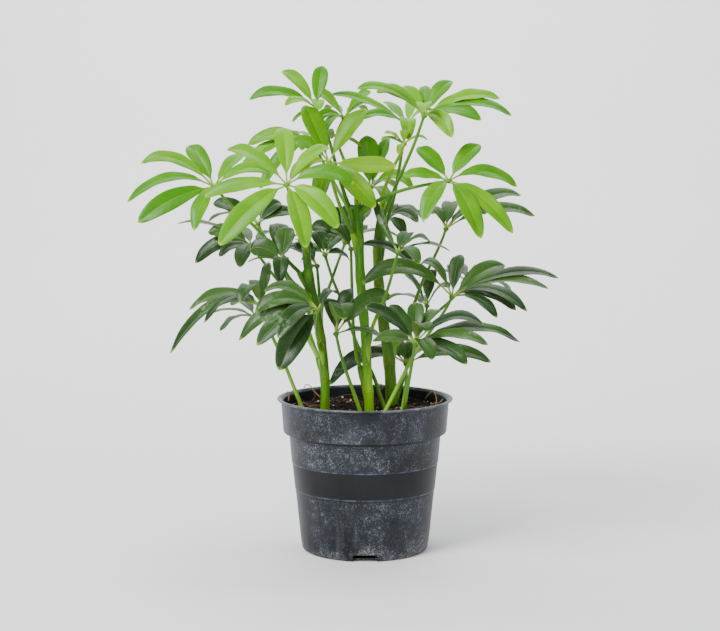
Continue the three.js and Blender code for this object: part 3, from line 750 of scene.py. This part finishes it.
def leaflet_finish(name, deep, fresh, under, rib, edge, shine, marks):
    """Blade: lightly mottled green, fine veins, a pale margin and tip, and a duller underside.

    Its UV map runs round the blade, over the face from 0 to 0.5 and back under it, and along from the hub.
    """
    paint = Paint(name, Specular_IOR_Level=shine, Coat_Weight=0.1, Coat_Roughness=0.25)
    around, along = paint.mapped()
    below = around.rise(0.499, 0.501)
    across = abs(4 * around - 1 - 2 * below)
    blade = (along - STALK_SHARE) / (1 - STALK_SHARE)
    patches = paint.cloud(45, detail=3)
    grain = paint.cloud(420, detail=2)
    lively = 0.5 + (patches - 0.5) * 1.1 + paint.tone() * 0.38 + (0.4 - blade) * 0.25
    slant = blade * 9 - across * 1.5
    beat = abs(slant.worked("FRACT", slant) - 0.5)
    vein = beat.rise(0.09, 0.01) * across.rise(0.98, 0.6)
    midrib = across.rise(0.09, 0.03) * blade.rise(1.0, 0.6)
    worn = patches.rise(0.56, 0.68) * grain.rise(0.45, 0.6)
    margin = across.rise(0.88, 0.98) * 0.62 + blade.rise(0.94, 1.0) * 0.75
    green = paint.layers(
        deep, (lively.rise(0, 1), fresh), (vein * 0.1 + midrib * 0.5, rib), (worn * marks, "A9B8A8"),
        (margin.rise(0, 1), edge))
    dull = paint.layers(under, (midrib * 0.4 + vein * 0.12, rib))
    both = paint.layers(paint.mix(below, green, dull), (blade.rise(0.07, -0.02), "7E9E34"))
    rough = 0.3 + grain * 0.1 + below * 0.2 + patches * 0.1
    height = grain * 0.2 + patches * 1.4 - vein * 0.25 - midrib * 0.4
    return paint.done(both, rough, height, strength=0.3, distance=0.0005)


def stalk_finish(name, low, high, speck):
    """Petioles and hubs: satin green with lengthwise grain, another green at the foot and pale specks."""
    paint = Paint(name, Specular_IOR_Level=0.25)
    _, along = paint.mapped()
    grain = paint.cloud(240, detail=3, stretch=(1, 1, 0.2))
    specks = paint.cells(900).rise(0.3, 0.18) * paint.cloud(120).rise(0.5, 0.62)
    green = paint.layers(
        high, ((along + paint.tone() * 0.3).rise(0.3, 1.1), low), (grain.rise(0.4, 0.75) * 0.3, "2F5208"),
        (specks * 0.35, speck))
    return paint.done(green, 0.36 + grain * 0.15, grain, strength=0.25, distance=0.0003)


def stem_finish(name, foot, middle, head, rings):
    """Stems: three greens from the foot up, the foot's lighter partly as painted light and the head's
    darker partly as painted shade, with lengthwise grain and a soft corky line at each ring scar.
    """
    paint = Paint(name, Specular_IOR_Level=0.22)
    _, along = paint.mapped()
    grain = paint.cloud(300, detail=4, stretch=(1, 1, 0.09), rough=0.6)
    patches = paint.cloud(70, detail=3, stretch=(1, 1, 0.35))
    lenticels = paint.cells(420, stretch=(1, 1, 0.45)).rise(0.2, 0.1) * patches.rise(0.45, 0.6)
    scar, fresh = 0, 0
    wander = (paint.cloud(160, detail=2) - 0.5) * 0.014
    for ring in rings:
        off = along + wander - ring
        scar = scar + abs(off).rise(0.007, 0.001)
        fresh = fresh + off.rise(-0.03, 0.004) * off.rise(0.08, 0.0)
    # The foot green is partly painted light and the head green partly painted shade from the leaves above.
    green = paint.layers(
        foot, (along.rise(0.12, 0.36), middle), (along.rise(0.45, 0.95), head),
        (patches.rise(0.42, 0.72) * 0.3, "6E9C10"), (grain.rise(0.5, 0.7) * 0.6, "264808"),
        (grain.rise(0.47, 0.32) * 0.35, "8EB42C"), (lenticels * 0.35, "A8B060"),
        (fresh * patches.rise(0.25, 0.7) * 0.14, "7EA414"),
        (scar * patches.rise(0.35, 0.6) * 0.3, "5E6420"))
    rough = 0.36 + grain * 0.2
    relief = grain * 0.7 - lenticels * 0.3 - scar * 0.5
    return paint.done(green, rough, relief, strength=0.45, distance=0.0005)


def pot_finish():
    """Moulded black plastic under limescale: haze, worm lines, dried drops and specks, a clean band, and a
    line of painted shade under the collar's edge.
    """
    paint = Paint("black_plastic", Specular_IOR_Level=0.22)
    x, y, height = paint.parts(paint.place())
    inside = (x * x + y * y).rise(*INSIDE_SQUARE) * height.rise(*INSIDE_LEVEL)
    collar = height.rise(*COLLAR)
    upper = height.rise(*UPPER_FOOT) * height.rise(*UPPER_HEAD)
    lower = height.rise(*LOWER_HEAD)
    foot = height.rise(*FOOT_HEAD)
    band = (collar * 0.85 + upper + lower * 0.8 + foot * 0.7 + 0.12) * (1 - inside * 0.75)
    areas = paint.cloud(24, detail=2, stretch=(1, 1, 0.4))
    specked = 0.72 + areas.rise(0.4, 0.6) * 0.28
    drift = paint.cloud(26, detail=4, rough=0.6)
    mist = paint.cloud(75, detail=5, rough=0.65)
    streaks = paint.cloud(190, detail=5, stretch=(1, 1, 0.14), rough=0.65)
    fine = paint.cloud(1000, detail=3, rough=0.7)
    hazy = collar + upper * 0.7 + lower * 0.6 + foot
    haze = (0.45 + mist.rise(0.38, 0.68) * 0.55) * drift.rise(0.3, 0.66) * hazy
    streaky = streaks.rise(0.46, 0.7) * (lower * drift.rise(0.6, 0.4) + areas.rise(0.55, 0.4) * 0.3)
    worms = abs(paint.cloud(330, detail=2) - 0.5).rise(0.022, 0.006) * mist.rise(0.34, 0.6)
    flecks = fine.rise(0.53, 0.65) * (0.4 + mist.rise(0.34, 0.6) * 0.6)
    drops = paint.cells(190)
    rings = (abs(drops - 0.32).rise(0.07, 0.02) + drops.rise(0.26, 0.1) * 0.3) * drift.rise(0.5, 0.62)
    dots = paint.cells(560).rise(0.2, 0.11) * (0.45 + mist.rise(0.4, 0.6) * 0.55)
    lime = (haze * 0.12 + streaky * 0.16
            + ((worms * 0.38 + flecks * 0.32 + dots * 0.36) * specked + rings * 0.2) * band)
    lime = lime.rise(0, 1.25)
    rust = paint.cells(170).rise(0.12, 0.06) * paint.cloud(40).rise(0.52, 0.6) * band
    mud = foot * mist.rise(0.45, 0.65) * fine.rise(0.42, 0.6)
    low_ridge, high_ridge = (abs(height - ridge).rise(*RIDGE_FADE) for ridge in RIDGES)
    ridges = (low_ridge + high_ridge) * (0.06 + streaks.rise(0.42, 0.66) * 0.26)
    # Painted shade: a near-black line just under the collar's lower edge, where the collar overhangs the
    # wall.
    under = height.rise(*SHADE_FOOT) * height.rise(*SHADE_HEAD)
    rim = height.rise(*RIM) * (0.08 + mist.rise(0.38, 0.66) * 0.3)
    coloured = paint.layers(
        "0B0C0F", (drift.rise(0.3, 0.7), "15171B"), (haze * 0.1, "707C90"), (lime, "9BA1AA"),
        (rust * 0.5, "8A5024"), (mud * 0.35, "8C7C68"), (ridges, "7E92AA"), (under * 0.85, "050607"),
        (rim, "9AA2AB"))
    relief = fine * 0.4 + lime * 1.2 + streaks * 0.2
    return paint.done(coloured, 0.36 + lime * 0.4 + fine * 0.1, relief, strength=0.3, distance=0.0003)


def soil_finish():
    """Dark peat: brown clods with some paler fibres."""
    paint = Paint("peat", Specular_IOR_Level=0.12)
    clods = paint.cloud(260, detail=6, rough=0.7)
    fibres = paint.cloud(700, detail=3, stretch=(1, 0.35, 1))
    brown = paint.layers(
        "070302", (clods.rise(0.3, 0.75), "1E0F08"), (fibres.rise(0.62, 0.72) * 0.4, "4A2F1C"))
    return paint.done(brown, 0.8 + clods * 0.15, clods + fibres * 0.4, strength=0.9, distance=0.0012)


def crumb_finish(name, dark, light, roughness):
    """Bits on the soil: each takes its colour between dark and light from its tone."""
    paint = Paint(name, Specular_IOR_Level=0.3)
    grain = paint.cloud(1200, detail=3, rough=0.7)
    colour = paint.layers(dark, ((paint.tone() * 0.8 + grain * 0.3).rise(0, 1), light))
    return paint.done(colour, roughness, grain, strength=0.5, distance=0.0003)


def room_finish():
    paint = Paint("pale_floor", Specular_IOR_Level=0.2)
    return paint.done(paint.layers("DEDEE0", (paint.cloud(2.5, detail=2), "E6E6E8")), 0.8)


# Pot and soil


def soil_height(x, y):
    """The uneven top of the soil, in mm: the part's own waves, with clods on them."""
    waves = (0.5 * math.sin(x * 0.19 + 1.3) * math.cos(y * 0.16) + 0.3 * math.sin(x * 0.33 - y * 0.27)
             + 0.2 * math.cos(y * 0.41 + x * 0.1))
    clods = noise.fractal(Vector((x, y, 0)) * CLOD_SCALE, *CLOD_FRACTAL)
    width, drop = SOIL_EDGE
    level = ease(math.hypot(x, y), SOIL_RADIUS, SOIL_RADIUS - width)
    relief = SOIL_RELIEF * waves * RELIEF_SHARE + clods * CLOD_HEIGHT
    return SOIL_TOP + relief * level - drop * (1 - level)


def cut_notches(pot):
    """Cuts the drain notches into the foot with a boolean, applied at once."""
    cutter = bmesh.new()
    for i in range(NOTCH_COUNT):
        turn = Matrix.Rotation(-math.pi / 2 + i * math.tau / NOTCH_COUNT, 4, "Z")
        out = Matrix.Translation((NOTCH_PLACE * MM, 0, 0))
        place = turn @ out @ Matrix.Diagonal((*(NOTCH_SIZE * MM), 1))
        made = bmesh.ops.create_cube(cutter, size=1, matrix=place)["verts"]
        corners = [edge for edge in {edge for vert in made for edge in vert.link_edges}
                   if all(vert.co.z > 0 for vert in edge.verts)
                   and abs(edge.calc_length() - NOTCH_SIZE.x * MM) < SAME_POINT * MM]
        bmesh.ops.bevel(cutter, geom=corners, offset=NOTCH_CORNER * MM, segments=4, profile=0.5,
                        affect="EDGES", material=-1)
    bmesh.ops.recalc_face_normals(cutter, faces=cutter.faces)
    block = added("notches", mesh_of("notches", cutter))
    modifier = pot.modifiers.new("notches", "BOOLEAN")
    modifier.operation = "DIFFERENCE"
    modifier.solver = "EXACT"
    modifier.object = block
    depsgraph = bpy.context.evaluated_depsgraph_get()
    cut = bpy.data.meshes.new_from_object(pot.evaluated_get(depsgraph))
    pot.modifiers.clear()
    pot.data = cut
    bpy.data.objects.remove(block)


def make_pot():
    piece = Piece("pot_moulded")
    piece.turn_round(POT_WALL, POT_TURNS)
    pot = piece.finish([pot_finish()], "pot", "pot")
    cut_notches(pot)
    for face in pot.data.polygons:
        face.use_smooth = True
    pot.data.set_sharp_from_angle(angle=POT_CREASE)


def scattered(rng):
    """A random place on the soil, away from the pot's wall."""
    while True:
        x, y = rng.uniform(-SOIL_RADIUS, SOIL_RADIUS), rng.uniform(-SOIL_RADIUS, SOIL_RADIUS)
        if math.hypot(x, y) < SOIL_RADIUS - CRUMB_MARGIN:
            return Vector((x, y, soil_height(x, y)))


def any_turn(rng):
    return Quaternion([rng.gauss(0, 1) for _ in range(4)]).normalized()


def root_way(rng, start, length, lift):
    """A thin root that wanders over the soil."""
    heading = rng.uniform(0, math.tau)
    points = []
    x, y = start.x, start.y
    for k in range(ROOT_BENDS + 1):
        height = soil_height(x, y) + 0.25 + lift * math.sin(math.pi * k / ROOT_BENDS)
        points.append(Vector((x, y, height)))
        heading += rng.uniform(-0.7, 0.7)
        x += math.cos(heading) * length / ROOT_BENDS
        y += math.sin(heading) * length / ROOT_BENDS
        if math.hypot(x, y) > SOIL_RADIUS - ROOT_MARGIN:
            x, y = x * 0.93, y * 0.93
    return smooth_way(points, ROOT_ROWS)


def make_soil():
    """The filled soil with its loose bits: peat lumps, bark flakes, perlite and roots."""
    rng = random.Random(SOIL_SEED)
    piece = Piece("soil_bed")
    rings = [(SOIL_RADIUS * (1 - k / SOIL_RINGS), SOIL_TOP) for k in range(SOIL_RINGS - 1, 0, -1)]
    piece.turn_round([(0, SOIL_TOP), *rings, (SOIL_RADIUS, SOIL_TOP), *SOIL_WALL], SOIL_TURNS)
    for vert in piece.mesh.verts:
        if vert.co.z > SOIL_TOP - 0.1:
            vert.co.z = soil_height(vert.co.x, vert.co.y)
    for _ in range(LUMPS):
        size = rng.uniform(*LUMP_SIZES)
        place = scattered(rng)
        widths = (size, size * rng.uniform(0.6, 1), size * rng.uniform(0.4, 0.8))
        piece.lump(place, widths, any_turn(rng), rng, BARK, rng.random() * 0.55)
    for _ in range(FLAKES):
        size = rng.uniform(*FLAKE_SIZES)
        place = scattered(rng) + UP * 0.3
        widths = (size, size * rng.uniform(0.3, 0.6), size * 0.25)
        turn = Quaternion(UP, rng.uniform(0, math.tau)) @ Quaternion((1, 0, 0), rng.gauss(0, 0.35))
        piece.lump(place, widths, turn, rng, BARK, rng.random())
    for _ in range(PERLITE_GRAINS):
        size = rng.uniform(*GRAIN_SIZES)
        place = scattered(rng) + UP * size * 0.3
        widths = (size, size * 0.85, size * 0.75)
        piece.lump(place, widths, any_turn(rng), rng, PERLITE, rng.random(), detail=2)
    for _ in range(FINE_ROOTS):
        way = root_way(rng, scattered(rng), rng.uniform(*FINE_LENGTHS), rng.uniform(0, FINE_LIFT))
        piece.tube(way, lambda share: 0.2 * (1 - 0.6 * share), ROOT_SIDES, ROOTS, rng.random())
    for spots in ROOT_LOOPS:
        way = smooth_way([seen(spot) for spot in spots], LOOP_ROWS)
        piece.tube(way, lambda share: 0.3 + 0.22 * share, ROOT_SIDES, ROOTS, rng.random())
    finishes = {
        EARTH: soil_finish(),
        BARK: crumb_finish("bark", "0A0503", "42240F", 0.8),
        PERLITE: crumb_finish("perlite", "A09C92", "E8E5DC", 0.8),
        ROOTS: crumb_finish("roots", "5A3F22", "A88458", 0.6),
    }
    piece.finish(finishes.values(), "soil", "soil")


# Stems


def stem_way(stem):
    return smooth_way([seen(spot) for spot in stem["way"]], STEM_ROWS)


def make_stem(name, stem, finish, bud):
    """A stem: a tapered tube that swells under each ring scar, with a pointed bud at its top."""
    way = stem_way(stem)
    rng = random.Random(name)

    def radius(share):
        plain = mixed(stem["foot"], stem["top"], share)
        swell = sum(ease(abs(share - ring), RING_REACH, 0.0) for ring in stem["rings"])
        scar = sum(ease(abs(share - ring), SCAR_REACH, 0.0) for ring in stem["rings"])
        flare = ease(share, FLARE_REACH, 0)
        return plain * (1 + RING_SWELL * swell - SCAR_DEPTH * scar + FLARE * flare)

    piece = Piece(name + "_grown")
    piece.tube(way, radius, STEM_SIDES, STEM_SKIN)
    up = (way[-1] - way[-4]).normalized()
    for k in range(BUD_SCALES):
        lean = Quaternion(up, k * math.tau / BUD_SCALES + rng.random()) @ up.orthogonal().normalized()
        tip = way[-1] + up * rng.uniform(*BUD_HEIGHTS) + lean * rng.uniform(*BUD_LEANS)
        scale = smooth_way([way[-1] - up * 2 + lean * 0.8, way[-1] + up * 3 + lean * 1.6, tip], BUD_ROWS)
        piece.tube(scale, lambda share: 1.5 * (1 - share) ** 0.7 + 0.12, BUD_SIDES, BUD_SKIN)
    piece.finish([finish, bud], "stem", name)


def on_axis(stem, height):
    return min(stem_way(stem), key=lambda point: abs(point.z - height))


# Leaves


def blade_share(row_share):
    """The share of a leaflet's length at a share of its rows, which lie closer at the blade's ends."""
    rows = STALK_ROWS + BLADE_ROWS
    row = row_share * rows
    if row <= STALK_ROWS:
        return STALK_SHARE * row / STALK_ROWS
    bend = math.pi * (row - STALK_ROWS) / BLADE_ROWS
    return STALK_SHARE + (1 - STALK_SHARE) * (1 - math.cos(bend)) / 2


def blade_width(share):
    """The outline of a blade: widest past its middle, a wedge at its foot and blunt at its tip."""
    foot, tip = BLADE_POWERS
    return share ** foot * (1 - share) ** tip / BLADE_WIDEST


def add_leaflet(piece, root, tip, width, rise, turn, rng):
    """One leaflet: a round stalk at the hub that opens into an arched, slightly folded blade."""
    chord = tip - root
    heading = Vector((chord.x, chord.y, 0)).normalized()
    level = heading.cross(UP)
    knee = root.lerp(tip, 0.5) + UP * 2 * rise
    sway = math.radians(turn) * (-1 if heading.x < 0 else 1) + rng.uniform(-SWAY, SWAY)
    wave, beat, phase = rng.uniform(*WAVE_HEIGHTS), rng.uniform(*WAVE_COUNTS), rng.uniform(0, math.tau)
    bend = rng.uniform(-BEND, BEND) * chord.length
    droop = rng.uniform(*DROOPS)
    columns = len(BLADE_COLUMNS) - 1

    def place(around, along):
        share = blade_share(along)
        blade = max(0, (share - STALK_SHARE) / (1 - STALK_SHARE))
        tangent = ((knee - root) * (1 - share) + (tip - knee) * share).normalized()
        middle = root * (1 - share) ** 2 + knee * 2 * share * (1 - share) + tip * share ** 2
        face = Quaternion(tangent, sway) @ level.cross(tangent).normalized()
        side = tangent.cross(face)
        column = round(around * 2 * columns)
        upper = column <= columns
        across = BLADE_COLUMNS[column] if upper else BLADE_COLUMNS[2 * columns - column]
        turned = math.pi * (1 - column / columns)
        round_part = Vector((math.cos(turned), math.sin(turned))) * STALK_RADIUS
        half = max(width / 2 * blade_width(blade), 0.01) if blade else 0
        lens = math.sqrt(max(0, 1 - across ** 2)) * BLADE_THICKNESS / 2 * ease(blade, *BLADE_THIN)
        rib = math.exp(-((across * half) / RIB_HALF) ** 2)
        keel = RIB_KEEL * rib * (1 - blade) ** KEEL_FADE
        depth = lens - RIB_GROOVE * rib if upper else -lens - keel
        fold = BLADE_FOLD * half * (abs(across) - FOLD_EASE * across ** 2)
        swing = math.sin(beat * math.tau * blade + phase + across)
        ripple = wave * across ** 2 * swing * ease(blade, *BLADE_WAVY)
        flat_part = Vector((across * half, depth + (fold + ripple) * ease(blade, *BLADE_FLAT)))
        spot = round_part.lerp(flat_part, ease(blade, *BLADE_OPEN))
        curve = bend * math.sin(math.pi * blade) * 0.5
        fall = UP * -droop * ease(blade, *BLADE_DROOP)
        return middle + side * (spot.x + curve) + face * spot.y + fall

    piece.carry(2 * columns, STALK_ROWS + BLADE_ROWS, place, blade_share, BLADE, rng.uniform(-1, 1))


def petiole_way(leaf):
    """From the hub down to the leaf's seat: on into the soil, or to the axis of its stem."""
    points = [seen(spot) for spot in leaf["petiole"]]
    stem, height = leaf["seat"]
    if stem == "soil":
        step = points[-1] - points[-2]
        points.append(points[-1] + step * ((SOIL_TOP - PETIOLE_DEPTH - points[-1].z) / step.z))
    else:
        points.append(on_axis(STEMS[stem], height))
    return points


def add_sheath(piece, stem, way):
    """The petiole's foot, which widens and runs on down the face of its stem."""
    above, beneath = SHEATH_REACH
    foot = way[-1]
    start = next(point for point in reversed(way) if (point - foot).length > above)
    side = Vector((start.x - foot.x, start.y - foot.y, 0)).normalized()
    reach = mixed(stem["foot"], stem["top"], (foot.z - SOIL_TOP) / (EYE.z - SOIL_TOP))
    shallow, deep = SHEATH_SINKS
    end = on_axis(stem, foot.z - beneath) + side * (reach - deep)
    bend = foot + side * (reach - shallow) - UP * SHEATH_DROP
    run = smooth_way([start, start.lerp(bend, 0.6), bend, end], SHEATH_ROWS)

    def radius(share):
        return 0.5 + 1.75 * math.sin(math.pi * (0.28 + 0.72 * share)) ** 0.8

    piece.tube(run, radius, PETIOLE_SIDES, STALK, 1)


def make_leaf(name, leaf, finishes, slot):
    """A compound leaf: petiole, hub and its whorl of leaflets."""
    rng = random.Random(name)
    piece = Piece(name + "_grown")
    seated = leaf["seat"][0] != "soil"
    points = petiole_way(leaf)
    length = sum((q - p).length for p, q in zip(points, points[1:]))
    way = smooth_way(points, max(PETIOLE_ROWS, int(length / PETIOLE_STEP)))

    def radius(share):
        plain = mixed(*PETIOLE_RADII, share) + NECK_SWELL * ease(share, NECK_REACH, 0)
        return mixed(plain, SHEATH_RADIUS, ease(share, 1 - SHEATH_SHARE, 1)) if seated else plain

    piece.tube(way, radius, PETIOLE_SIDES, STALK, rng.uniform(-1, 1))
    if seated:
        add_sheath(piece, STEMS[leaf["seat"][0]], way)
    hub = points[0]
    piece.ball(hub, HUB_RADIUS, HUB_SQUASH, STALK)
    for across, down, away, width, rise, turn in leaf["leaflets"]:
        tip = seen((across, down, leaf["petiole"][0][2] + away))
        add_leaflet(piece, hub, tip, width, rise, turn, rng)
    for heading, reach, height in leaf.get("far", ()):
        turned = math.radians(heading)
        tip = hub + Vector((math.cos(turned) * reach, math.sin(turned) * reach, height))
        add_leaflet(piece, hub, tip, reach * FAR_WIDTH, reach * FAR_RISE, 0, rng)
    piece.finish(finishes, slot, name)


# Camera, light and room


def make_camera():
    data = bpy.data.cameras.new("camera")
    data.sensor_width = SENSOR
    data.lens = FOCAL / PICTURE_WIDTH * SENSOR
    data.clip_start = NEAREST
    camera = added("camera", data)
    camera.location = EYE * MM
    camera.rotation_euler = (math.pi / 2 - PITCH, 0, 0)
    bpy.context.scene.camera = camera


def make_lamp(name, place, target, size, power):
    """A soft rectangular lamp that faces its target."""
    data = bpy.data.lights.new(name, "AREA")
    data.shape = "RECTANGLE"
    data.size, data.size_y = size
    data.energy = power
    lamp = added(name, data)
    lamp.location = place
    lamp.rotation_euler = (Vector(target) - lamp.location).to_track_quat("-Z", "Y").to_euler()


def make_room():
    """A pale floor that curves up into a pale wall behind, soft lamps and a bright even sky."""
    sweep = bmesh.new()
    bmesh.ops.create_grid(sweep, x_segments=1, y_segments=1, size=ROOM_HALF,
                          matrix=Matrix.Translation(ROOM_MIDDLE))
    back = [edge for edge in sweep.edges if all(vert.co.y > 0 for vert in edge.verts)]
    raised = bmesh.ops.extrude_edge_only(sweep, edges=back)["geom"]
    tops = [part for part in raised if isinstance(part, bmesh.types.BMVert)]
    bmesh.ops.translate(sweep, vec=(0, 0, ROOM_HEIGHT), verts=tops)
    bend = [edge for edge in sweep.edges if len(edge.link_faces) == 2]
    bmesh.ops.bevel(sweep, geom=bend, offset=ROOM_BEND, segments=ROOM_BEND_STEPS, profile=0.5,
                    affect="EDGES", material=-1)
    for face in sweep.faces:
        face.smooth = True
    room = added("room", mesh_of("room", sweep))
    room.data.materials.append(room_finish())

    sky = bpy.data.worlds.new("sky")
    sky.use_nodes = True
    background = sky.node_tree.nodes["Background"]
    background.inputs["Color"].default_value = SKY_COLOUR
    background.inputs["Strength"].default_value = SKY_STRENGTH
    bpy.context.scene.world = sky
    for name, lamp in LAMPS.items():
        make_lamp(name, *lamp)


# The plant

make_camera()
make_room()
make_pot()
make_soil()

BUD = stalk_finish("bud_green", "8FA832", "6F9E1E", "C6CC80")
# Foot, middle and head green of each stem: the light feet are partly painted light, and the dark heads
# partly painted shade under the leaves.
STEM_COLOURS = {
    "stem_left": ("5A9C04", "3C6A04", "2E6204"),
    "stem_middle": ("8CCC04", "3C7C00", "286200"),
    "stem_right": ("4E7A18", "305608", "325E08"),
}
for name, stem in STEMS.items():
    make_stem(name, stem, stem_finish(name + "_green", *STEM_COLOURS[name], stem["rings"]), BUD)

STALKS = {
    "young": stalk_finish("stalk_young", "3E7004", "76A408", "B4C060"),
    "bright": stalk_finish("stalk_bright", "2E5A02", "4A8006", "9CB04C"),
    "dark": stalk_finish("stalk_dark", "7CB01C", "42700A", "94A84C"),
}
BLADES = {
    "young": leaflet_finish("blade_young", "447E00", "729A00", "6A9400", "90B200", "A4BC00", 0.1, 0.01),
    "bright": leaflet_finish("blade_bright", "367600", "649E00", "608C08", "80B010", "9CBE10", 0.15, 0.04),
    "dark": leaflet_finish("blade_dark", "112E0A", "335816", "4A6618", "527A1C", "7CA01C", 0.22, 0.2),
}
for name, leaf in LEAVES.items():
    make_leaf(name, leaf, [BLADES[leaf["tone"]], STALKS[leaf["tone"]]], "leaf_" + leaf["tone"])
